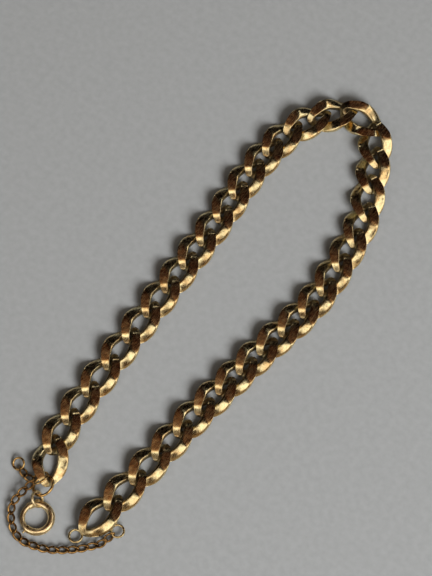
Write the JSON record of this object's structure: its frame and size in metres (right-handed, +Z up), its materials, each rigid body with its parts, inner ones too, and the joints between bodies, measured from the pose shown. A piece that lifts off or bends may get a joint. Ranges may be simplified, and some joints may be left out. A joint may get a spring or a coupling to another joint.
{
  "type": "link bracelet",
  "caption": "Flat curb-link wrist bracelet of interlocked metal links, lying open in a long hairpin, with a bolt ring clasp and a fine safety chain.",
  "frame": {"origin": "on the surface that the bracelet lies on, under the middle of its outline", "axes": "+Y runs along the two arms from the open clasp to the bend, +Z up from the surface, +X across the arms"},
  "size_m": [0.0306, 0.1052, 0.0028],
  "materials": {
    "curb_gold": "flat faces filed and worn, rounded edges polished bright",
    "clasp_gold": "polished, lightly worn",
    "ring_gold": "polished wire, lightly worn",
    "fine_gold": "fine drawn wire, softly polished"
  },
  "bodies": {
    "bracelet": {"link_01": "curb_gold", "link_02": "curb_gold", "link_03": "curb_gold", "link_04": "curb_gold", "link_05": "curb_gold", "link_06": "curb_gold", "link_07": "curb_gold", "link_08": "curb_gold", "link_09": "curb_gold", "link_10": "curb_gold", "link_11": "curb_gold", "link_12": "curb_gold", "link_13": "curb_gold", "link_14": "curb_gold", "link_15": "curb_gold", "link_16": "curb_gold", "link_17": "curb_gold", "link_18": "curb_gold", "link_19": "curb_gold", "link_20": "curb_gold", "link_21": "curb_gold", "link_22": "curb_gold", "link_23": "curb_gold", "link_24": "curb_gold", "link_25": "curb_gold", "link_26": "curb_gold", "link_27": "curb_gold", "link_28": "curb_gold", "link_29": "curb_gold", "link_30": "curb_gold", "link_31": "curb_gold", "link_32": "curb_gold", "link_33": "curb_gold", "link_34": "curb_gold", "bolt_ring": "clasp_gold", "clasp_ring": "ring_gold", "guard_ring": "ring_gold", "safety_chain": "fine_gold", "tail_chain": "fine_gold", "tail_ring": "ring_gold"},
    "trigger": {"trigger": "clasp_gold"}
  },
  "joints": [
    {"name": "trigger_slide", "type": "hinge", "parent": "bracelet", "child": "trigger", "pos_m": [-0.00378, -0.04716, 0.00065], "axis": [0, 0, 1], "range_deg": [0, 88], "stiffness_Nm_per_rad": 0.0006}
  ]
}
